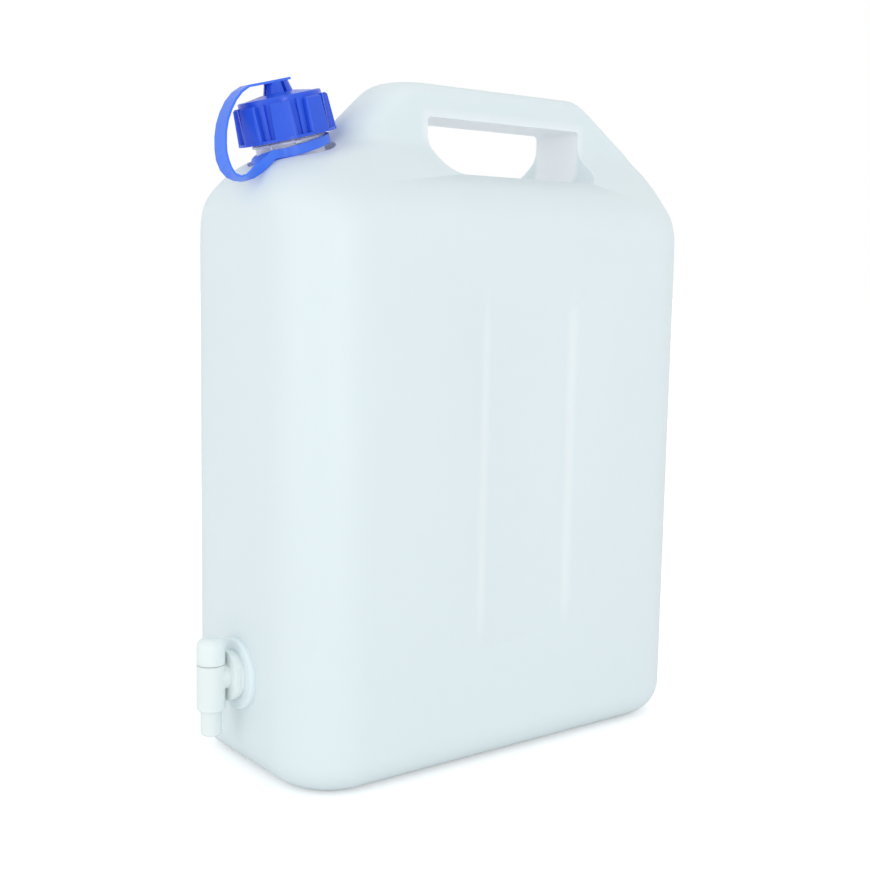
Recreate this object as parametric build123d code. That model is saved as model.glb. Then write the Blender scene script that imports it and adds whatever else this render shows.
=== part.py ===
from build123d import *
import math
import os

# Water canister with a tap, about ten litres. Millimetres.
# X is the thickness, Y the breadth with the tap on the narrow -Y face, Z is up.
# The origin is the middle of the base, on the surface that the canister stands on.

# Canister, outside
breadth = 270.0
thickness = 137.4
height = 366.6
corner_radius = 36.8
base_round = 19.3
wall = 1.8
upper_start = height - 88.6
foot_width = 9.0
foot_bar = 18.0
foot_recess = 1.8
foot_draft = 45.0

# Front of the canister, from the wall over the platform of the neck to the handle
platform_front_z = height - 49.8
platform_tilt = 16.0
front_round = 28.0
valley_y = -breadth / 2 + 55.5
valley_round = 8.0
column_knee_y = -breadth / 2 + 59.0
column_knee_z = height - 24.0
column_knee_round = 16.0
column_top_y = -breadth / 2 + 85.0
column_top_round = 28.0

# Back of the canister
back_slope_top_y = breadth / 2 - 53.5
back_slope_z = height - 36.1
back_top_round = 15.3
back_round = 29.6

# Broad faces, that draw in to the handle
handle_thickness = 36.8
broad_slope_z = height - 71.1
broad_slope_top_z = height - 32.6
broad_round = 26.0
broad_valley_round = 12.0
handle_edge_round = 7.0
handle_back_radius = 7.2
handle_front_radius = 22.0

# Hand hole
hole_front_y = column_top_y + 20.4
hole_back_y = breadth / 2 - 54.0
hole_bottom_z = height - 49.4
hole_top_z = height - 18.1
hole_bottom_round = 10.0
hole_top_round = 2.5

# Shallow channel down each broad face
channel_front_y = -25.2
channel_back_y = 33.7
channel_bottom_z = 69.3
channel_top_z = height - 120.6
channel_flare = 26.0
channel_depth = 1.1
channel_draft = 76.0

# Neck, measured along its own axis from the plane of the cap's lower rim
neck_y = -breadth / 2 + 29.3
neck_z = height - 34.0
neck_tilt = 15.0
neck_bore_radius = 15.2
neck_core_radius = 17.6
neck_lip_height = 17.7
neck_lip_round = 0.8
thread_room = 2.2
bead_radius = 19.0
bead_top = -0.6
bead_height = 1.6
neck_depth = 22.0
well_radius = 23.5
well_floor = -10.2

# The moulding is written as five nodes, cut at these places
base_top_z = 21.0
shoulder_top_z = height - 60.6
neck_cut_radius = 20.0

# Screw cap
cap_height = 21.3
cap_top_wall = 2.0
cap_drum_radius = 22.4
cap_drum_top_radius = 21.5
cap_top_round = 1.0
lip_radius = 25.6
lip_thickness = 1.4
lug_count = 8
lug_height = 18.8
lug_radius = 25.4
lug_top_radius = 24.3
lug_width = 12.6
lug_round = 2.0
lug_depth = 12.0
lug_top_chamfer = 0.9
lug_turn = -32.0
rib_width = 1.6
rib_radius = 23.6
crown_low = 20.9
crown_top = 23.0
crown_low_radius = 20.4
crown_top_radius = 8.5
boss_base_radius = 8.3
boss_top_radius = 6.2
boss_top = 28.3
boss_bore_floor = 22.3
boss_bore_radius = 3.9
boss_slot_width = 1.8

# Sealing disc in the cap
liner_thickness = 1.5
liner_gap = 0.5

# Tether
ring_gap = 2.0
ring_wall = 1.6
ring_top = -2.7
ring_top_tilt = 4.5
ring_bottom = -7.6
ring_bottom_tilt = 5.5
ring_slit_turn = -60.0
ring_slit_width = 1.8
ring_slit_floor = -8.0
ring_low_turn = -121.0
ring_low_width = 17.6
ring_low_floor = -8.2
ring_shoulder = -4.0
strap_thickness = 1.2
pin_gap = 0.35
pin_length = 5.4
tab_overhang = 6.6
tab_start = 9.0
tab_width = 8.6
# Route of the strap in the neck's frame, from the ring to the cap: place, the way its width lies, width
strap_root = (16.6, -12.0, -6.1)
strap_route = [
    ((15.6, -15.9, -5.7), (0, 0, 1), 4.5),
    ((16.0, -20.0, -5.5), (0, -0.1, 1), 4.5),
    ((16.4, -25.6, -8.4), (0.1, -0.3, 0.9), 5.2),
    ((16.2, -30.2, -10.4), (0.4, -0.3, 0.8), 6.2),
    ((15.6, -33.8, -12.3), (0.7, -0.2, 0.6), 7.2),
    ((14.6, -36.9, -13.3), (0.9, 0, 0.35), 8.2),
    ((13.4, -39.5, -13.3), (1, 0, 0.15), 9.0),
    ((12.0, -41.9, -11.9), (1, 0, 0), 9.8),
    ((10.4, -43.5, -9.2), (1, 0, 0), 10.3),
    ((8.4, -43.9, -5.5), (1, 0, 0), 10.6),
    ((6.2, -43.2, -0.9), (1, 0, 0), 10.6),
    ((4.4, -41.5, 3.7), (1, 0, 0), 10.6),
    ((2.8, -39.1, 9.2), (1, 0, 0), 10.6),
    ((1.6, -36.0, 14.6), (1, 0, 0), 10.6),
    ((0.8, -32.2, 19.5), (1, 0, 0), 10.6),
    ((0.2, -27.9, 23.8), (1, 0, 0), 10.4),
    ((0, -23.2, 27.1), (1, 0, 0), 10.0),
    ((0, -18.0, 29.0), (1, 0, 0), 9.4),
]

# Tap on the narrow face
tap_z = 54.0
tap_axis_y = -breadth / 2 - 16.0
tap_boss_radius = 19.0
tap_boss_height = 3.0
tap_boss_round = 1.6
tap_boss_reach = 9.0
stem_radius = 9.6
stem_gap = 0.2
stem_length = 15.0
stem_bore_radius = 5.0
gasket_radius = 12.6
gasket_thickness = 1.5
flange_radius = 13.2
flange_thickness = 3.4
flange_flat = 23.0
barrel_radius = 7.45
barrel_top_z = 61.4
barrel_bottom_z = 36.6
barrel_round = 1.2
barrel_bore_radius = 5.2
barrel_floor_z = 40.0
spout_radius = 5.5
spout_tip_z = 23.8
spout_tip_chamfer = 0.7
spout_bore_radius = 4.0

# Turning plug of the tap
plug_gap = 0.08
plug_wall = 1.3
plug_window_width = 5.6
plug_window_height = 6.4
knob_gap = 0.4
knob_top_z = 75.4
knob_round = 4.6

half_breadth = breadth / 2
half_thickness = thickness / 2
neck_place = Location((0, neck_y, neck_z), (neck_tilt, 0, 0))
channel_width = channel_back_y - channel_front_y
channel_y = (channel_back_y + channel_front_y) / 2


def rounded_outline(corners):
    """A closed outline in a plane, from corners given as (across, up, radius)."""
    face = make_face(Polyline(*[(a, b) for a, b, radius in corners], close=True))
    for a, b, radius in corners:
        if radius:
            corner = face.vertices().sort_by_distance(Vector(a, b))[0]
            face = fillet(corner, radius)
    return face


def side_outline():
    """The canister's outline seen from the broad side: across is Y."""
    tilt = math.tan(math.radians(platform_tilt))
    valley_z = platform_front_z + (valley_y + half_breadth) * tilt
    return rounded_outline([
        (-half_breadth, 0, 0),
        (half_breadth, 0, 0),
        (half_breadth, back_slope_z, back_round),
        (back_slope_top_y, height, back_top_round),
        (column_top_y, height, column_top_round),
        (column_knee_y, column_knee_z, column_knee_round),
        (valley_y, valley_z, valley_round),
        (-half_breadth, platform_front_z, front_round),
    ])


def front_outline():
    """The canister's outline seen from the narrow side: across is X."""
    half_handle = handle_thickness / 2
    right = [
        (half_thickness, 0, 0),
        (half_thickness, broad_slope_z, broad_round),
        (half_handle, broad_slope_top_z, broad_valley_round),
        (half_handle, height, handle_edge_round),
    ]
    left = [(-a, b, radius) for a, b, radius in reversed(right)]
    return rounded_outline(right + left)


def span_at(face, level):
    """Lowest and highest across-coordinate of an outline at one height."""
    reach = breadth
    line = Edge.make_line((-reach, level), (reach, level))
    cut = face.intersect(line)
    ends = [v.X for piece in cut for v in piece.vertices()]
    return min(ends), max(ends)


def plan_section(level, low_y, high_y, half_width, inset):
    """Section of the upper part: round shoulders in front, tighter corners at the back."""
    half_handle = handle_thickness / 2
    share = (half_width + inset - half_handle) / (half_thickness - half_handle)
    back = handle_back_radius + share * (corner_radius - handle_back_radius) - inset
    front = handle_front_radius + share * (corner_radius - handle_front_radius) - inset
    outline = Rectangle(2 * half_width, high_y - low_y)
    outline = fillet(outline.vertices().group_by(Axis.Y)[0], min(front, 0.96 * half_width))
    outline = fillet(outline.vertices().group_by(Axis.Y)[-1], min(back, 0.96 * half_width))
    return Pos(0, (low_y + high_y) / 2, level) * outline


def upper_levels(top):
    """Heights of the plan sections, closer together where the outline turns fast."""
    slope, hand, valley, crown_start = height - 70.6, height - 52.6, height - 32.6, height - 8.6
    steps = [(upper_start, slope, 3), (slope, hand, 5), (hand, valley, 10), (valley, crown_start, 7)]
    levels = []
    for low, high, count in steps:
        levels += [low + (high - low) * i / count for i in range(count)]
    crown = top - crown_start
    levels += [crown_start + crown * math.sin(math.radians(a)) for a in (0, 25, 45, 62, 78)]
    return levels + [top]


def can_form(inset):
    """The canister's filled form, drawn in by inset on every side."""
    side, front = side_outline(), front_outline()
    if inset:
        side, front = offset(side, -inset), offset(front, -inset)
    lower = extrude(
        Pos(0, 0, inset)
        * RectangleRounded(thickness - 2 * inset, breadth - 2 * inset, corner_radius - inset),
        upper_start - inset,
    )
    lower = fillet(lower.faces().sort_by(Axis.Z)[0].edges(), base_round - inset)
    top = height - inset
    sections = []
    for level in upper_levels(top):
        measured = min(level, top - 0.01)
        low_y, high_y = span_at(side, measured)
        half_width = span_at(front, measured)[1]
        sections.append(plan_section(level, low_y, high_y, half_width, inset))
    return lower + loft(sections, ruled=True)


def hand_hole(outset):
    """The tunnel of the hand hole, through the whole thickness."""
    width = hole_back_y - hole_front_y + 2 * outset
    tall = hole_top_z - hole_bottom_z + 2 * outset
    outline = Rectangle(width, tall)
    corners = outline.vertices()
    outline = fillet(corners.group_by(Axis.Y)[0], hole_bottom_round + outset)
    outline = fillet(outline.vertices().group_by(Axis.Y)[-1], hole_top_round + outset)
    plane = Plane(
        origin=(0, (hole_back_y + hole_front_y) / 2, (hole_top_z + hole_bottom_z) / 2),
        x_dir=(0, 1, 0),
        z_dir=(1, 0, 0),
    )
    return extrude(plane * outline, thickness, both=True)


def channel_cut(side, inset):
    """Shallow channel on one broad face, that spreads and runs out upwards."""
    floor_x = half_thickness - inset - channel_depth
    half = channel_width / 2
    channel = Rectangle(channel_width, channel_top_z - channel_bottom_z, align=(Align.CENTER, Align.MIN))
    spread = make_face(Polyline(
        (-half, 0), (half, 0),
        (half + channel_flare, channel_flare), (-half - channel_flare, channel_flare),
        close=True,
    ))
    plane = Plane(
        origin=(side * floor_x, channel_y, channel_bottom_z), x_dir=(0, side, 0), z_dir=(side, 0, 0)
    )
    run_out = math.atan(channel_depth / channel_flare)
    upper = Plane(
        origin=(side * floor_x, channel_y, channel_top_z),
        x_dir=(0, side, 0),
        z_dir=(side * math.cos(run_out), 0, -math.sin(run_out)),
    )
    cut = extrude(plane * channel, 1.5 * channel_depth, taper=-channel_draft)
    return cut + extrude(upper * spread, 1.5 * channel_depth, taper=-channel_draft)


def neck_ring(inner, outer, low, high):
    """A plain ring about the neck's axis, between two heights along it."""
    ring = Pos(0, 0, low) * Cylinder(outer, high - low, align=(Align.CENTER, Align.CENTER, Align.MIN))
    if inner:
        ring -= Pos(0, 0, low) * Cylinder(inner, high - low, align=(Align.CENTER, Align.CENTER, Align.MIN))
    return ring


def neck_outside():
    """Neck tube with its retaining bead, filled, in the neck's own frame."""
    tube = neck_ring(0, neck_core_radius, -neck_depth, neck_lip_height)
    tube = chamfer(tube.edges().sort_by(Axis.Z)[-1], neck_lip_round)
    bead = neck_ring(0, bead_radius, bead_top - bead_height, bead_top)
    bead = chamfer(bead.edges().sort_by(Axis.Z)[-1], 0.6)
    return tube + bead


def tap_boss_blank():
    """Round boss on the narrow face that the tap screws into, filled."""
    face_y = -half_breadth - tap_boss_height
    plane = Plane(origin=(0, face_y, tap_z), x_dir=(1, 0, 0), z_dir=(0, 1, 0))
    boss = extrude(plane * Circle(tap_boss_radius), tap_boss_height + tap_boss_reach)
    return fillet(boss.edges().sort_by(Axis.Y)[0], tap_boss_round)


def foot_recesses(outset):
    """Two shallow recesses in the base, that leave a foot all round and a bar across the middle."""
    wide = thickness - 2 * (base_round + foot_width)
    long = half_breadth - base_round - foot_width - foot_bar / 2
    outline = RectangleRounded(wide, long, corner_radius - base_round)
    recess = extrude(outline, foot_recess, taper=foot_draft)
    if outset:
        recess = Pos(0, 0, outset) * recess + extrude(offset(outline, outset), outset)
    across = (long + foot_bar) / 2
    return Pos(0, across, 0) * recess + Pos(0, -across, 0) * recess


def shell_form(inset):
    """The filled form with hand hole, channels, the well round the neck and the base's recesses."""
    form = can_form(inset) - hand_hole(inset) - foot_recesses(inset)
    form -= neck_place * neck_ring(0, well_radius + inset, well_floor - inset, 2 * neck_depth)
    return form - channel_cut(1, inset) - channel_cut(-1, inset)


def make_can_body():
    """Blow-moulded canister: one hollow wall with neck, handle and tap boss."""
    hollow = shell_form(wall)
    body = shell_form(0) - hollow
    body += tap_boss_blank()
    body += neck_place * neck_outside() - hollow
    bore = neck_ring(0, neck_bore_radius, -neck_depth, neck_lip_height)
    body -= neck_place * bore
    stem_plane = Plane(
        origin=(0, -half_breadth - tap_boss_height, tap_z), x_dir=(1, 0, 0), z_dir=(0, 1, 0)
    )
    depth = tap_boss_height + tap_boss_reach
    return body - extrude(stem_plane * Circle(stem_radius + stem_gap), depth)


def slab(low_z, high_z):
    """A block that takes in all of the canister between two heights."""
    return Pos(0, 0, low_z) * Box(
        2 * thickness, 2 * breadth, high_z - low_z, align=(Align.CENTER, Align.CENTER, Align.MIN)
    )


def cut_can_body(body):
    """The moulding cut into simple nodes that meet face to face, from the base to the neck."""
    neck = neck_place * neck_ring(0, neck_cut_radius, -neck_depth, neck_lip_height)
    upper = body - neck
    return {
        "can_base": upper & slab(-1, base_top_z),
        "can_walls": upper & slab(base_top_z, upper_start),
        "can_shoulder": upper & slab(upper_start, shoulder_top_z),
        "can_handle": upper & slab(shoulder_top_z, 2 * height),
        "can_neck": body & neck,
    }


def make_screw_cap():
    """Screw cap with wide grip lugs, slim ribs between them and a slotted boss on top."""
    drum = Solid.make_cone(cap_drum_radius, cap_drum_top_radius, cap_height)
    drum = Part(drum.wrapped)
    drum = fillet(drum.edges().sort_by(Axis.Z)[-1], cap_top_round)
    cap = drum + neck_ring(0, lip_radius, 0, lip_thickness)
    lug_taper = math.degrees(math.atan((lug_radius - lug_top_radius) / lug_height))
    for i in range(lug_count):
        turn = lug_turn + i * 360 / lug_count
        outline = RectangleRounded(lug_depth, lug_width, lug_round)
        lug = extrude(Pos(lug_radius - lug_depth / 2, 0) * outline, lug_height, taper=lug_taper)
        lug = chamfer(lug.faces().sort_by(Axis.Z)[-1].edges(), lug_top_chamfer)
        cap += Rot(0, 0, turn) * lug
        rib = Pos(rib_radius - 2, 0, 0) * Box(4, rib_width, lug_height,
                                              align=(Align.CENTER, Align.CENTER, Align.MIN))
        cap += Rot(0, 0, turn + 180 / lug_count) * rib
    crown = Solid.make_cone(crown_low_radius, crown_top_radius, crown_top - crown_low)
    cap += Pos(0, 0, crown_low) * Part(crown.wrapped)
    boss = Solid.make_cone(boss_base_radius, boss_top_radius, boss_top - crown_low)
    cap += Pos(0, 0, crown_low) * Part(boss.wrapped)
    cap -= neck_ring(0, boss_bore_radius, boss_bore_floor, boss_top)
    slot = Pos(0, 0, boss_top) * Box(
        4 * boss_base_radius, boss_slot_width, boss_top - crown_top,
        align=(Align.CENTER, Align.CENTER, Align.MAX)
    )
    cap -= slot
    cap -= Rot(0, 0, 90) * slot
    inside = neck_core_radius + thread_room
    cap -= neck_ring(0, inside, 0, cap_height - cap_top_wall)
    return neck_place * cap


def make_cap_liner():
    """Soft sealing disc between the neck's lip and the top of the cap."""
    radius = neck_core_radius + thread_room - liner_gap
    disc = neck_ring(0, radius, neck_lip_height, neck_lip_height + liner_thickness)
    return neck_place * disc


def tap_axis_ring(inner, outer, low_z, high_z):
    """A ring about the tap's upright axis."""
    return Pos(0, tap_axis_y, 0) * neck_ring(inner, outer, low_z, high_z)


def make_tap_body():
    """Tap housing: threaded stem, flange, upright barrel and spout in one moulding."""
    seat_y = -half_breadth - tap_boss_height - gasket_thickness
    plane = Plane(origin=(0, seat_y, tap_z), x_dir=(1, 0, 0), z_dir=(0, 1, 0))
    flange_shape = Circle(flange_radius) & Rectangle(flange_flat, 2 * flange_radius)
    flange = extrude(plane * flange_shape, -flange_thickness)
    stem = extrude(plane * Circle(stem_radius), stem_length)
    barrel = tap_axis_ring(0, barrel_radius, barrel_bottom_z, barrel_top_z)
    barrel = chamfer(barrel.edges().sort_by(Axis.Z)[0], barrel_round)
    bridge = extrude(plane * Circle(barrel_radius - 0.6), tap_axis_y - seat_y)
    spout = tap_axis_ring(0, spout_radius, spout_tip_z, barrel_floor_z)
    spout = chamfer(spout.edges().sort_by(Axis.Z)[0], spout_tip_chamfer)
    body = flange + stem + barrel + bridge + spout
    body -= tap_axis_ring(0, barrel_bore_radius, barrel_floor_z, barrel_top_z)
    body -= tap_axis_ring(0, spout_bore_radius, spout_tip_z, barrel_floor_z)
    bore = extrude(plane * Circle(stem_bore_radius), stem_length)
    bore += extrude(plane * Circle(stem_bore_radius), tap_axis_y - seat_y)
    return body - bore


def make_tap_gasket():
    """Flat rubber ring between the flange and the canister's boss."""
    plane = Plane(
        origin=(0, -half_breadth - tap_boss_height, tap_z), x_dir=(1, 0, 0), z_dir=(0, -1, 0)
    )
    ring = Circle(gasket_radius) - Circle(stem_radius + stem_gap)
    return extrude(plane * ring, gasket_thickness)


def make_tap_plug():
    """Turning plug: hollow shaft with a side window, under a domed thumb knob."""
    shaft_radius = barrel_bore_radius - plug_gap
    knob_bottom = barrel_top_z + knob_gap
    shaft = tap_axis_ring(shaft_radius - plug_wall, shaft_radius, barrel_floor_z + knob_gap, knob_bottom)
    knob = tap_axis_ring(0, barrel_radius, knob_bottom, knob_top_z)
    knob = fillet(knob.edges().sort_by(Axis.Z)[-1], knob_round)
    plug = shaft + knob
    window = Pos(0, tap_axis_y, tap_z) * Box(
        2 * shaft_radius, plug_window_width, plug_window_height,
        align=(Align.MIN, Align.CENTER, Align.CENTER)
    )
    return plug - window


def strap_section(before, place, after, across, width):
    """The strap's section at one point of its route, square to the route."""
    along = (Vector(*after) - Vector(*before)).normalized()
    side = Vector(*across)
    side = (side - along * side.dot(along)).normalized()
    return Plane(origin=place, x_dir=side, z_dir=along) * Rectangle(width, strap_thickness)


def tether_ring():
    """Loose ring on the neck, lower in front: slit at the strap's root, and low beside it."""
    inner = neck_core_radius + ring_gap
    tall = 2 * well_radius
    ring = neck_ring(inner, inner + ring_wall, 2 * ring_bottom, -ring_top)
    above = Box(2 * tall, 2 * tall, tall, align=(Align.CENTER, Align.CENTER, Align.MIN))
    below = Box(2 * tall, 2 * tall, tall, align=(Align.CENTER, Align.CENTER, Align.MAX))
    ring -= Location((0, 0, ring_top), (ring_top_tilt, 0, 0)) * above
    ring -= Location((0, 0, ring_bottom), (ring_bottom_tilt, 0, 0)) * below
    slit = Pos(inner, 0, ring_slit_floor) * Box(
        4 * ring_wall, ring_slit_width, tall, align=(Align.CENTER, Align.CENTER, Align.MIN)
    )
    ring -= Rot(0, 0, ring_slit_turn) * slit
    notch = make_face(Polyline(
        (0, ring_low_floor), (ring_low_width, ring_shoulder), (ring_low_width, tall),
        (-ring_low_width, tall), (-ring_low_width, ring_shoulder), close=True,
    ))
    facing = Plane(origin=(0, 0, 0), x_dir=(0, 1, 0), z_dir=(1, 0, 0))
    return ring - Rot(0, 0, ring_low_turn) * extrude(facing * notch, 2 * inner)


def make_cap_tether():
    """Ring on the neck, strap and tab with its pin, moulded in one."""
    tab_middle = boss_top + strap_thickness / 2
    route = strap_route + [((0, -tab_start, tab_middle), (1, 0, 0), tab_width)]
    places = [strap_root] + [place for place, across, width in route] + [(0, 0, tab_middle)]
    strap = loft([
        strap_section(places[i], places[i + 1], places[i + 2], across, width)
        for i, (place, across, width) in enumerate(route)
    ], ruled=True)
    root = loft([
        strap_section(places[0], places[0], places[1], (0, 0, 1), strap_route[0][2]),
        strap_section(places[0], places[1], places[2], (0, 0, 1), strap_route[0][2]),
    ], ruled=True)
    tab = Pos(0, -tab_start, boss_top) * Box(
        tab_width, tab_start + tab_overhang, strap_thickness, align=(Align.CENTER, Align.MIN, Align.MIN)
    )
    pin = neck_ring(0, boss_bore_radius - pin_gap, boss_top - pin_length, boss_top)
    return neck_place * (tether_ring() + root + strap + tab + pin)


def write(name, shape):
    """Write one sub-part, so that the file's name is its name."""
    export_step(shape, f"parts/{name}.step")


os.makedirs("parts", exist_ok=True)
for name, shape in cut_can_body(make_can_body()).items():
    write(name, shape)
write("screw_cap", make_screw_cap())
write("cap_liner", make_cap_liner())
write("cap_tether", make_cap_tether())
write("tap_body", make_tap_body())
write("tap_gasket", make_tap_gasket())
write("tap_plug", make_tap_plug())
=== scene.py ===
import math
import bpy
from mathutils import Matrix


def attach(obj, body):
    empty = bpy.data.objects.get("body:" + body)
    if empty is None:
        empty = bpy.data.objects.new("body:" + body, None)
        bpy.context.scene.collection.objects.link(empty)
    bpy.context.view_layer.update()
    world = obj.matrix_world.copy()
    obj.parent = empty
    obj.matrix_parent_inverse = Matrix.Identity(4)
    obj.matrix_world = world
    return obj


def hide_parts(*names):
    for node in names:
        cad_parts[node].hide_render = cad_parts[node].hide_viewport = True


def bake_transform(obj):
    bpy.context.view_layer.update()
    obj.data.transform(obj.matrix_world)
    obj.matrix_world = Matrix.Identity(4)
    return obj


bl_info = {
    "name": "Water canister with tap",
    "version": (1, 0, 0),
    "blender": (4, 5, 0),
    "location": "View3D > Sidebar > Canister",
    "description": "Dresses the packed water canister: moulding, neck thread, cap, tether, tap and studio",
    "category": "Object",
}

import bmesh
import bpy
from mathutils import Matrix, Vector

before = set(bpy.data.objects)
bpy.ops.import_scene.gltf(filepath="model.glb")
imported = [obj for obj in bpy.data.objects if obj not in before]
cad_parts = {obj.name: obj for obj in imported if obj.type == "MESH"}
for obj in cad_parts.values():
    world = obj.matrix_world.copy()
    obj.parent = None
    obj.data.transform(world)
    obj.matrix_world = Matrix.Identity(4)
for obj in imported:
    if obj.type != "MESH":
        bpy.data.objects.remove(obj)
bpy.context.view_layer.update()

# The five nodes of the canister, and the heights and the radius round the neck where they meet
CAN_NODES = ("can_base", "can_walls", "can_shoulder", "can_handle", "can_neck")
CUT_HEIGHTS = (0.021, 0.278, 0.306)
NECK_CUT_RADIUS = 0.020
CUT_TOLERANCE, NECK_CUT_TOLERANCE = 0.00003, 0.00006
POINT_MERGE, SEAM_MERGE = 0.00002, 0.00012

# Threads of the neck and the cap, half widths as shares of the pitch
NECK_RADIUS = 0.0176
CAP_BORE_RADIUS = 0.0198
SINK = 0.0002
THREAD_START = 0.0035
THREAD_ROOT, THREAD_CREST = 0.27, 0.10
THREAD_STEPS = 64
CAP_THREAD_SHARE = 0.8

# Stops on the neck: name, turn about the neck, width, outer radius and low end along the neck's axis
NECK_STOPS = (
    ("neck_stop_tall", math.radians(-60.5), 0.0015, 0.0194, -0.0092),
    ("neck_stop_short", math.radians(-17.0), 0.0034, 0.0194, -0.0029),
)
STOP_TOP = -0.0012
STOP_NARROWING = (1.0, 0.7, 0.85)
STOP_BEVEL = 0.0003

# Painted highlight along the channel's creases on the broad faces: the plastic's colour is lightened there
CREASES = (-0.0262, 0.0347)
CREASE_WIDTH = 0.0045
CREASE_LOW, CREASE_HIGH, CREASE_FADE = 0.062, 0.262, 0.030
CREASE_HIGHLIGHT_COLOUR = (0.860, 0.930, 0.950, 1.0)
CREASE_HIGHLIGHT_STRENGTH = 0.55

# Painted light in the hand hole (half sizes along x, y and z, then its middle in y and z) and round the neck:
# the colour is lightened where shade falls
HOLE_HALF = (0.0155, 0.0560, 0.0165)
HOLE_MIDDLE = (0.0255, 0.3329)
HOLE_FADE = 0.005
NECK_LIGHT_RADIUS = 0.024
PAINTED_LIGHT_COLOUR = (0.930, 0.960, 0.985, 1.0)

# Plastics: colours of the hidden seals, and what all the plastics share
FOAM = (0.80, 0.80, 0.77)
SILICONE = (0.78, 0.85, 0.86)
PLASTIC_IOR = 1.5
PLASTIC_SPECULAR = 0.35
SUBSURFACE_DEPTH = 0.004
SKIN_DEPTH = 0.0002

# Studio
FLOOR_RADIUS = 14.0
FLOOR_COLOUR = (0.95, 0.95, 0.95, 1.0)
FLOOR_LIFT = 0.3
SKY_COLOUR = (0.985, 0.995, 1.0, 1.0)
WHITE = (1.0, 1.0, 1.0, 1.0)
LAMP_TARGET = Vector((0, 0, 0.2))

# The neck stands on the sloping platform: along its own z axis, from its foot
NECK_FRAME = Matrix.Translation((0.0, -0.1057, 0.3326)) @ Matrix.Rotation(math.radians(15.0), 4, "X")


class CanisterSettings(bpy.types.PropertyGroup):
    """Colours and sizes of the canister, its cap and its tap."""

    plastic: bpy.props.FloatVectorProperty(
        name="Canister", description="Milky polyethylene of the canister", subtype="COLOR",
        size=3, min=0.0, max=1.0, default=(0.745, 0.840, 0.870))
    cap_blue: bpy.props.FloatVectorProperty(
        name="Cap", description="Blue of the screw cap", subtype="COLOR",
        size=3, min=0.0, max=1.0, default=(0.024, 0.102, 0.723))
    strap_blue: bpy.props.FloatVectorProperty(
        name="Strap", description="Blue of the thin strap, lighter than the cap", subtype="COLOR",
        size=3, min=0.0, max=1.0, default=(0.060, 0.200, 0.900))
    tap_white: bpy.props.FloatVectorProperty(
        name="Tap", description="White of the tap", subtype="COLOR",
        size=3, min=0.0, max=1.0, default=(0.800, 0.875, 0.875))
    smooth_angle: bpy.props.FloatProperty(
        name="Smooth angle", description="Edges flatter than this are shaded smooth", subtype="ANGLE",
        min=0.0, max=math.pi, default=math.radians(38.0))
    thread_turns: bpy.props.FloatProperty(
        name="Thread turns", description="Turns of the thread on the neck", min=0.5, max=6.0, default=2.6)
    thread_pitch: bpy.props.FloatProperty(
        name="Thread pitch", description="Rise of the neck's thread in one turn", subtype="DISTANCE",
        unit="LENGTH", default=0.004)
    thread_height: bpy.props.FloatProperty(
        name="Thread height", description="How far the neck's thread stands out", subtype="DISTANCE",
        unit="LENGTH", default=0.0012)


class StudioSettings(bpy.types.PropertyGroup):
    """Light and camera."""

    sky: bpy.props.FloatProperty(
        name="Sky", description="Strength of the soft light from all round", min=0.0, max=2.0, default=0.89)
    key: bpy.props.FloatProperty(
        name="Key light", description="Power of the large soft light beside the camera", subtype="POWER",
        unit="POWER", default=5.0)
    fill: bpy.props.FloatProperty(
        name="Fill light", description="Power of the soft light before the narrow face", subtype="POWER",
        unit="POWER", default=2.8)
    lens: bpy.props.FloatProperty(
        name="Lens", description="Focal length on a sensor 36 mm wide", subtype="DISTANCE_CAMERA",
        default=53.87)
    azimuth: bpy.props.FloatProperty(
        name="Azimuth", description="Camera's turn round the canister from its narrow face",
        subtype="ANGLE", default=math.radians(52.594))
    elevation: bpy.props.FloatProperty(
        name="Elevation", description="Camera's height angle", subtype="ANGLE",
        default=math.radians(7.175))
    roll: bpy.props.FloatProperty(
        name="Roll", description="Camera's turn about its own axis", subtype="ANGLE",
        default=math.radians(-1.010))
    place: bpy.props.FloatVectorProperty(
        name="Place", description="Where the camera stands", subtype="TRANSLATION", unit="LENGTH",
        size=3, default=(0.5906, -0.4587, 0.2660))


def only(obj):
    """Deselect everything, then select this object and make it active."""
    if bpy.context.mode != "OBJECT":
        bpy.ops.object.mode_set(mode="OBJECT")
    bpy.ops.object.select_all(action="DESELECT")
    obj.select_set(True)
    bpy.context.view_layer.objects.active = obj
    return obj


def copy_of_nodes(names, name):
    """One new object from copies of CAD nodes, with their doubled points merged."""
    bpy.ops.object.select_all(action="DESELECT")
    copies = []
    for node in names:
        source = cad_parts[node]
        piece = bpy.data.objects.new(name, source.data.copy())
        bpy.context.scene.collection.objects.link(piece)
        copies.append(piece)
    for piece in copies:
        piece.select_set(True)
    bpy.context.view_layer.objects.active = copies[0]
    if len(copies) > 1:
        bpy.ops.object.join()
    piece = bpy.context.view_layer.objects.active
    piece.name = name
    piece.data.materials.clear()
    only(piece)
    bpy.ops.object.mode_set(mode="EDIT")
    bpy.ops.mesh.select_all(action="SELECT")
    bpy.ops.mesh.remove_doubles(threshold=POINT_MERGE)
    bpy.ops.object.mode_set(mode="OBJECT")
    return piece


def smooth(piece, angle):
    """Shade smooth, with edges sharper than the angle kept crisp."""
    only(piece)
    if piece.data.attributes.get("custom_normal"):
        bpy.ops.mesh.customdata_custom_splitnormals_clear()
    bpy.ops.object.shade_smooth_by_angle(angle=angle)


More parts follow.
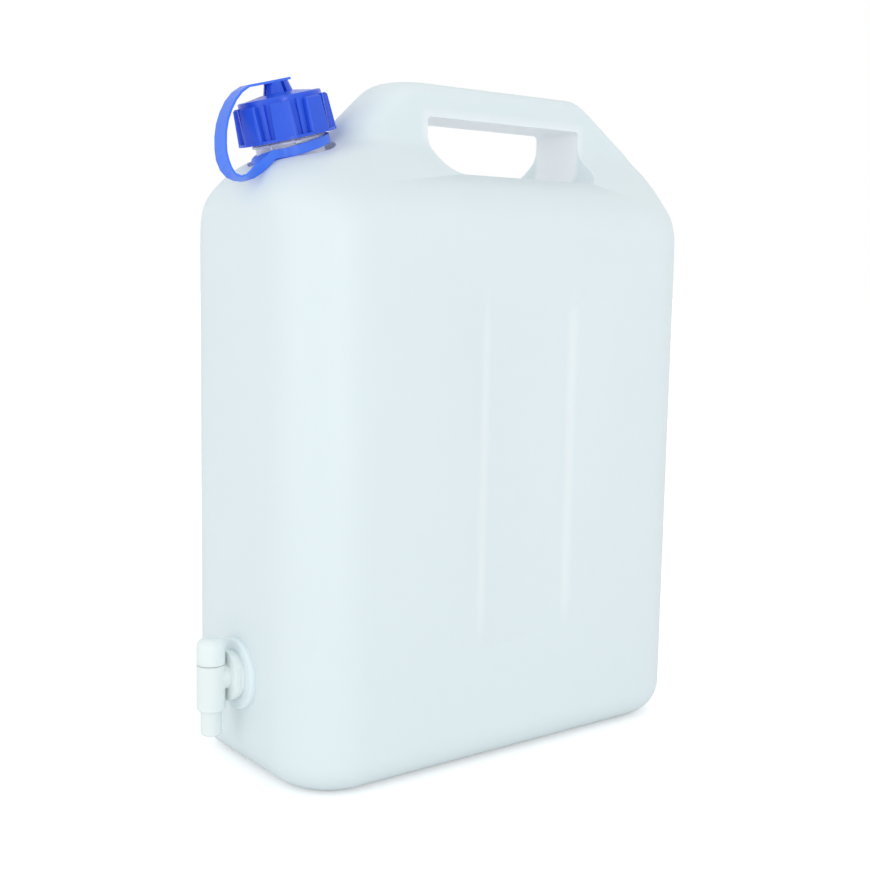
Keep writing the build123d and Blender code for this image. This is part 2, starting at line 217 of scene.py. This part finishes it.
def plastic_group():
    """Shared node group: gives a faint cloudiness, a roughness and a moulded-skin bump."""
    group = bpy.data.node_groups.get("moulded_skin")
    if group:
        return group
    group = bpy.data.node_groups.new("moulded_skin", "ShaderNodeTree")
    socket = group.interface.new_socket
    for name, default in (("Cloud scale", 9.0), ("Grain scale", 900.0), ("Bump", 0.05),
                          ("Smoothest", 0.34), ("Roughest", 0.50)):
        socket(name, in_out="INPUT", socket_type="NodeSocketFloat").default_value = default
    socket("Cloud", in_out="OUTPUT", socket_type="NodeSocketFloat")
    socket("Roughness", in_out="OUTPUT", socket_type="NodeSocketFloat")
    socket("Normal", in_out="OUTPUT", socket_type="NodeSocketVector")
    nodes, link = group.nodes, group.links.new
    entry, leave = nodes.new("NodeGroupInput"), nodes.new("NodeGroupOutput")
    place = nodes.new("ShaderNodeTexCoord")
    cloud, grain = nodes.new("ShaderNodeTexNoise"), nodes.new("ShaderNodeTexNoise")
    cloud.inputs["Detail"].default_value = 3.0
    grain.inputs["Detail"].default_value = 2.0
    for noise, name in ((cloud, "Cloud scale"), (grain, "Grain scale")):
        link(place.outputs["Object"], noise.inputs["Vector"])
        link(entry.outputs[name], noise.inputs["Scale"])
    rough = nodes.new("ShaderNodeMapRange")
    link(entry.outputs["Smoothest"], rough.inputs["To Min"])
    link(entry.outputs["Roughest"], rough.inputs["To Max"])
    link(cloud.outputs["Fac"], rough.inputs["Value"])
    bump = nodes.new("ShaderNodeBump")
    bump.inputs["Distance"].default_value = SKIN_DEPTH
    link(entry.outputs["Bump"], bump.inputs["Strength"])
    link(grain.outputs["Fac"], bump.inputs["Height"])
    link(cloud.outputs["Fac"], leave.inputs["Cloud"])
    link(rough.outputs["Result"], leave.inputs["Roughness"])
    link(bump.outputs["Normal"], leave.inputs["Normal"])
    return group


def moulded(name, colour, shift, subsurface, scale=9.0, bump=0.05, rough=(0.34, 0.50)):
    """A moulded plastic.

    Its colour is cloudy by the share called shift, a higher scale gives finer clouds, bump is the strength of
    its fine skin, and rough is its lowest and highest roughness.
    """
    material = bpy.data.materials.new(name)
    material.use_nodes = True
    nodes, link = material.node_tree.nodes, material.node_tree.links.new
    shader = nodes["Principled BSDF"]
    skin = nodes.new("ShaderNodeGroup")
    skin.node_tree = plastic_group()
    skin.inputs["Cloud scale"].default_value = scale
    skin.inputs["Bump"].default_value = bump
    skin.inputs["Smoothest"].default_value, skin.inputs["Roughest"].default_value = rough
    tint = nodes.new("ShaderNodeMix")
    tint.data_type = "RGBA"
    tint.inputs["A"].default_value = (*[min(1.0, c * (1 + shift)) for c in colour], 1.0)
    tint.inputs["B"].default_value = (*[c * (1 - shift) for c in colour], 1.0)
    link(skin.outputs["Cloud"], tint.inputs["Factor"])
    link(tint.outputs["Result"], shader.inputs["Base Color"])
    link(skin.outputs["Roughness"], shader.inputs["Roughness"])
    link(skin.outputs["Normal"], shader.inputs["Normal"])
    shader.inputs["IOR"].default_value = PLASTIC_IOR
    shader.inputs["Specular IOR Level"].default_value = PLASTIC_SPECULAR
    shader.inputs["Subsurface Weight"].default_value = subsurface
    shader.inputs["Subsurface Radius"].default_value = (1.0, 1.0, 1.0)
    shader.inputs["Subsurface Scale"].default_value = SUBSURFACE_DEPTH
    return material


def paint_light_on_plastic(material):
    """Paint light into the milky plastic's colour: a painted highlight along the channel's creases, and
    painted light in the hand hole and round the neck, where shade falls.
    """
    nodes, link = material.node_tree.nodes, material.node_tree.links.new
    base = nodes["Principled BSDF"].inputs["Base Color"]
    plain = base.links[0].from_socket
    place, axes = nodes.new("ShaderNodeTexCoord"), nodes.new("ShaderNodeSeparateXYZ")
    link(place.outputs["Object"], axes.inputs["Vector"])

    def ramp(value, start, end, low, high):
        node = nodes.new("ShaderNodeMapRange")
        node.interpolation_type = "SMOOTHSTEP"
        for name, number in (("From Min", start), ("From Max", end), ("To Min", low), ("To Max", high)):
            node.inputs[name].default_value = number
        link(value, node.inputs["Value"])
        return node.outputs["Result"]

    def combine(operation, first, second):
        node = nodes.new("ShaderNodeMath")
        node.operation = operation
        for socket, value in zip(node.inputs, (first, second)):
            if isinstance(value, float):
                socket.default_value = value
            else:
                link(value, socket)
        return node.outputs["Value"]

    # Painted highlight: the colour is lightened in a band along each crease of the channel
    bands = []
    for crease in CREASES:
        away = combine("ABSOLUTE", combine("SUBTRACT", axes.outputs["Y"], crease), 0.0)
        bands.append(ramp(away, 0.0, CREASE_WIDTH, 1.0, 0.0))
    rise = ramp(axes.outputs["Z"], CREASE_LOW, CREASE_LOW + CREASE_FADE, 0.0, 1.0)
    fall = ramp(axes.outputs["Z"], CREASE_HIGH - CREASE_FADE, CREASE_HIGH, 1.0, 0.0)
    mask = combine("MULTIPLY", combine("MAXIMUM", *bands), combine("MULTIPLY", rise, fall))
    lit = nodes.new("ShaderNodeMix")
    lit.data_type = "RGBA"
    lit.inputs["B"].default_value = CREASE_HIGHLIGHT_COLOUR
    link(combine("MULTIPLY", mask, CREASE_HIGHLIGHT_STRENGTH), lit.inputs["Factor"])
    link(plain, lit.inputs["A"])
    # Painted light: the colour is lightened in the hand hole and round the neck, where shade falls
    inside = 1.0
    for axis, middle, half in zip("XYZ", (0.0, *HOLE_MIDDLE), HOLE_HALF):
        away = combine("ABSOLUTE", combine("SUBTRACT", axes.outputs[axis], middle), 0.0)
        within = ramp(away, half, half + HOLE_FADE, 1.0, 0.0)
        inside = combine("MULTIPLY", within, inside)
    away = nodes.new("ShaderNodeVectorMath")
    away.operation = "DISTANCE"
    away.inputs[1].default_value = NECK_FRAME.translation
    link(place.outputs["Object"], away.inputs[0])
    near = ramp(away.outputs["Value"], NECK_LIGHT_RADIUS, NECK_LIGHT_RADIUS + HOLE_FADE, 1.0, 0.0)
    painted_light = nodes.new("ShaderNodeMix")
    painted_light.data_type = "RGBA"
    painted_light.inputs["B"].default_value = PAINTED_LIGHT_COLOUR
    link(combine("MAXIMUM", inside, near), painted_light.inputs["Factor"])
    link(lit.outputs["Result"], painted_light.inputs["A"])
    link(painted_light.outputs["Result"], base)


def finish_with(obj, material):
    """Give an object one material."""
    obj.data.materials.clear()
    obj.data.materials.append(material)


class CANISTER_OT_moulding(bpy.types.Operator):
    """Make the canister's one moulding from the five nodes that it was cut into"""

    bl_idname = "canister.moulding"
    bl_label = "Canister moulding"

    def execute(self, context):
        settings = context.scene.canister
        body = copy_of_nodes(CAN_NODES, "canister_moulding")
        only(body)
        bpy.ops.object.mode_set(mode="EDIT")
        mesh = bmesh.from_edit_mesh(body.data)
        to_neck = NECK_FRAME.inverted()
        for face in mesh.faces:
            flat = any(all(abs(v.co.z - cut) < CUT_TOLERANCE for v in face.verts) for cut in CUT_HEIGHTS)
            around = all(
                abs((to_neck @ v.co).xy.length - NECK_CUT_RADIUS) < NECK_CUT_TOLERANCE for v in face.verts)
            face.select_set(flat or around)
        bmesh.update_edit_mesh(body.data)
        bpy.ops.mesh.delete(type="FACE")
        bpy.ops.mesh.select_all(action="SELECT")
        bpy.ops.mesh.remove_doubles(threshold=SEAM_MERGE)
        bpy.ops.object.mode_set(mode="OBJECT")
        smooth(body, settings.smooth_angle)
        plastic = moulded("milky_polyethylene", settings.plastic, 0.012, 0.25)
        paint_light_on_plastic(plastic)
        finish_with(body, plastic)
        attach(body, "canister")
        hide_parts(*CAN_NODES)
        return {"FINISHED"}


def wind_thread(settings, name, root, crest, start, body, material):
    """A trapezoid thread on the neck's axis, wound from one flat section by a Screw modifier."""
    bpy.ops.object.select_all(action="DESELECT")
    bpy.ops.mesh.primitive_plane_add(size=settings.thread_pitch / 2)
    thread = bpy.context.view_layer.objects.active
    thread.name = name
    half_root, half_crest = settings.thread_pitch * THREAD_ROOT, settings.thread_pitch * THREAD_CREST
    corners = ((root, -half_root), (crest, -half_crest), (root, half_root), (crest, half_crest))
    for vertex, (x, z) in zip(thread.data.vertices, corners):
        vertex.co = (x, 0.0, z)
    only(thread)
    screw = thread.modifiers.new("wind", "SCREW")
    screw.angle = 2 * math.pi * settings.thread_turns
    screw.screw_offset = settings.thread_pitch * settings.thread_turns
    screw.steps = screw.render_steps = int(THREAD_STEPS * settings.thread_turns)
    bpy.ops.object.modifier_apply(modifier="wind")
    bpy.ops.object.mode_set(mode="EDIT")
    bpy.ops.mesh.select_all(action="SELECT")
    bpy.ops.mesh.normals_make_consistent(inside=False)
    bpy.ops.object.mode_set(mode="OBJECT")
    thread.data.transform(NECK_FRAME @ Matrix.Translation((0, 0, start)))
    smooth(thread, settings.smooth_angle)
    finish_with(thread, material)
    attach(thread, body)


class CANISTER_OT_neck_thread(bpy.types.Operator):
    """Wind the thread round the neck"""

    bl_idname = "canister.neck_thread"
    bl_label = "Neck thread"

    def execute(self, context):
        settings = context.scene.canister
        crest = NECK_RADIUS + settings.thread_height
        wind_thread(settings, "neck_thread", NECK_RADIUS - SINK, crest, THREAD_START,
                    "canister", bpy.data.materials["milky_polyethylene"])
        return {"FINISHED"}


class CANISTER_OT_neck_stops(bpy.types.Operator):
    """Mould the two small stops under the neck's bead"""

    bl_idname = "canister.neck_stops"
    bl_label = "Neck stops"

    def execute(self, context):
        settings = context.scene.canister
        for name, turn, width, reach, low in NECK_STOPS:
            inner = NECK_RADIUS - 2 * SINK
            bpy.ops.object.select_all(action="DESELECT")
            bpy.ops.mesh.primitive_cube_add(size=1.0)
            stop = context.view_layer.objects.active
            stop.name = name
            stop.data.transform(Matrix.Diagonal((reach - inner, width, STOP_TOP - low, 1.0)))
            middle = ((reach + inner) / 2, 0, (STOP_TOP + low) / 2)
            stop.data.transform(Matrix.Translation(middle))
            only(stop)
            bpy.ops.object.mode_set(mode="EDIT")
            mesh = bmesh.from_edit_mesh(stop.data)
            for face in mesh.faces:
                face.select_set(face.normal.x > 0.9)
            bmesh.update_edit_mesh(stop.data)
            bpy.ops.transform.resize(value=STOP_NARROWING)
            bpy.ops.mesh.select_all(action="SELECT")
            bpy.ops.mesh.bevel(offset=STOP_BEVEL, segments=3, affect="EDGES")
            bpy.ops.object.mode_set(mode="OBJECT")
            stop.data.transform(NECK_FRAME @ Matrix.Rotation(turn, 4, "Z"))
            smooth(stop, settings.smooth_angle)
            finish_with(stop, bpy.data.materials["milky_polyethylene"])
            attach(stop, "canister")
        return {"FINISHED"}


class CANISTER_OT_cap(bpy.types.Operator):
    """Finish the screw cap and its sealing disc"""

    bl_idname = "canister.cap"
    bl_label = "Screw cap"

    def execute(self, context):
        settings = context.scene.canister
        cap = copy_of_nodes(("screw_cap",), "cap_moulding")
        smooth(cap, settings.smooth_angle)
        finish_with(cap, moulded("cap_blue_plastic", settings.cap_blue, 0.10, 0.0, 40.0, 0.04, (0.20, 0.30)))
        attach(cap, "cap")
        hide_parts("screw_cap")
        crest = CAP_BORE_RADIUS - settings.thread_height * CAP_THREAD_SHARE
        wind_thread(settings, "cap_thread", CAP_BORE_RADIUS + SINK, crest,
                    THREAD_START + settings.thread_pitch / 2, "cap", cap.data.materials[0])
        finish_with(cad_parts["cap_liner"], moulded("foam_disc", FOAM, 0.03, 0.0, 60.0, 0.2))
        return {"FINISHED"}


class CANISTER_OT_tether(bpy.types.Operator):
    """Make the flexible tether of the cap"""

    bl_idname = "canister.tether"
    bl_label = "Tether"

    def execute(self, context):
        settings = context.scene.canister
        strap = copy_of_nodes(("cap_tether",), "tether_moulding")
        smooth(strap, settings.smooth_angle)
        plastic = moulded("strap_blue_plastic", settings.strap_blue, 0.08, 0.0, 40.0, 0.04, (0.26, 0.36))
        finish_with(strap, plastic)
        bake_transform(strap)
        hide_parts("cap_tether")
        return {"FINISHED"}


class CANISTER_OT_tap(bpy.types.Operator):
    """Finish the tap, its knob and its gasket"""

    bl_idname = "canister.tap"
    bl_label = "Tap"

    def execute(self, context):
        settings = context.scene.canister
        plastic = moulded("tap_white_plastic", settings.tap_white, 0.015, 0.2, 60.0, 0.05)
        for node, body, name in (
            ("tap_body", "canister", "tap_housing"),
            ("tap_plug", "tap_knob", "tap_knob_piece"),
        ):
            piece = copy_of_nodes((node,), name)
            smooth(piece, settings.smooth_angle)
            finish_with(piece, plastic)
            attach(piece, body)
            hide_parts(node)
        finish_with(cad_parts["tap_gasket"], moulded("silicone", SILICONE, 0.03, 0.0, 60.0, 0.1))
        return {"FINISHED"}


class CANISTER_OT_studio(bpy.types.Operator):
    """Set up the pale floor, the soft light and the camera"""

    bl_idname = "canister.studio"
    bl_label = "Studio"

    def execute(self, context):
        settings = context.scene.canister_studio
        self.floor()
        self.sky(settings)
        self.lamps(settings)
        self.camera(settings)
        return {"FINISHED"}

    def floor(self):
        """A wide pale floor that keeps the object's shadow."""
        bpy.ops.object.select_all(action="DESELECT")
        bpy.ops.mesh.primitive_circle_add(vertices=96, radius=FLOOR_RADIUS, fill_type="NGON")
        floor = bpy.context.view_layer.objects.active
        floor.name = "studio_floor"
        material = bpy.data.materials.new("floor_white")
        material.use_nodes = True
        shader = material.node_tree.nodes["Principled BSDF"]
        shader.inputs["Base Color"].default_value = FLOOR_COLOUR
        shader.inputs["Roughness"].default_value = 0.9
        shader.inputs["Specular IOR Level"].default_value = 0.0
        shader.inputs["Emission Color"].default_value = WHITE
        seen = material.node_tree.nodes.new("ShaderNodeLightPath")
        lift = material.node_tree.nodes.new("ShaderNodeMath")
        lift.operation = "MULTIPLY"
        lift.inputs[1].default_value = FLOOR_LIFT
        material.node_tree.links.new(seen.outputs["Is Camera Ray"], lift.inputs[0])
        material.node_tree.links.new(lift.outputs["Value"], shader.inputs["Emission Strength"])
        finish_with(floor, material)

    def sky(self, settings):
        """Even light from all round, seen by the camera as white."""
        world = bpy.data.worlds.new("studio_sky")
        bpy.context.scene.world = world
        world.use_nodes = True
        nodes, link = world.node_tree.nodes, world.node_tree.links.new
        lit = nodes["Background"]
        lit.inputs["Color"].default_value = SKY_COLOUR
        lit.inputs["Strength"].default_value = settings.sky
        seen = nodes.new("ShaderNodeBackground")
        seen.inputs["Color"].default_value = WHITE
        seen.inputs["Strength"].default_value = 1.0
        path = nodes.new("ShaderNodeLightPath")
        mix = nodes.new("ShaderNodeMixShader")
        link(path.outputs["Is Camera Ray"], mix.inputs["Fac"])
        link(lit.outputs["Background"], mix.inputs[1])
        link(seen.outputs["Background"], mix.inputs[2])
        link(mix.outputs["Shader"], nodes["World Output"].inputs["Surface"])

    def lamps(self, settings):
        """Two large soft lamps: one beside the camera, and a weaker one in front of the narrow face."""
        for name, place, width, tall, power in (
            ("key_light", (1.74, -0.70, 0.50), 0.28, 1.0, settings.key),
            ("fill_light", (0.10, -1.80, 0.40), 0.7, 1.0, settings.fill),
        ):
            bpy.ops.object.light_add(type="AREA", location=place)
            lamp = bpy.context.view_layer.objects.active
            lamp.name = name
            lamp.data.shape = "RECTANGLE"
            lamp.data.size = width
            lamp.data.size_y = tall
            lamp.data.energy = power
            lamp.rotation_euler = (LAMP_TARGET - lamp.location).to_track_quat("-Z", "Y").to_euler()

    def camera(self, settings):
        """The camera at the photograph's viewing angle."""
        a, e = settings.azimuth, settings.elevation
        back = Vector((math.sin(a) * math.cos(e), -math.cos(a) * math.cos(e), math.sin(e)))
        right = Vector((math.cos(a), math.sin(a), 0.0))
        up = back.cross(right)
        c, s = math.cos(settings.roll), math.sin(settings.roll)
        across, upward = c * right - s * up, s * right + c * up
        bpy.ops.object.camera_add(location=settings.place)
        camera = bpy.context.view_layer.objects.active
        camera.name = "photo_camera"
        camera.data.lens = settings.lens
        camera.data.sensor_width = 36.0
        camera.data.sensor_fit = "HORIZONTAL"
        turn = Matrix((across, upward, back)).transposed().to_4x4()
        camera.matrix_world = Matrix.Translation(settings.place) @ turn
        bpy.context.scene.camera = camera
        bpy.context.scene.view_settings.view_transform = "Standard"


class CANISTER_PT_panel(bpy.types.Panel):
    """Sizes, colours and steps of the canister"""

    bl_idname = "CANISTER_PT_panel"
    bl_label = "Canister"
    bl_space_type = "VIEW_3D"
    bl_region_type = "UI"
    bl_category = "Canister"

    def draw(self, context):
        layout = self.layout
        for group in (context.scene.canister, context.scene.canister_studio):
            for name in group.bl_rna.properties.keys():
                if name not in ("rna_type", "name"):
                    layout.prop(group, name)
        for step in STEPS:
            layout.operator(step.bl_idname)


STEPS = (
    CANISTER_OT_studio,
    CANISTER_OT_moulding,
    CANISTER_OT_neck_thread,
    CANISTER_OT_neck_stops,
    CANISTER_OT_cap,
    CANISTER_OT_tether,
    CANISTER_OT_tap,
)
CLASSES = (CanisterSettings, StudioSettings, *STEPS, CANISTER_PT_panel)


def register():
    """Register the classes and hang the settings on the scene."""
    for cls in CLASSES:
        bpy.utils.register_class(cls)
    bpy.types.Scene.canister = bpy.props.PointerProperty(type=CanisterSettings)
    bpy.types.Scene.canister_studio = bpy.props.PointerProperty(type=StudioSettings)


def unregister():
    """Undo register."""
    del bpy.types.Scene.canister_studio
    del bpy.types.Scene.canister
    for cls in reversed(CLASSES):
        bpy.utils.unregister_class(cls)


def main():
    """Make the studio and the pieces in order."""
    register()
    bpy.ops.canister.studio()
    bpy.ops.canister.moulding()
    bpy.ops.canister.neck_thread()
    bpy.ops.canister.neck_stops()
    bpy.ops.canister.cap()
    bpy.ops.canister.tether()
    bpy.ops.canister.tap()


if __name__ == "__main__":
    main()
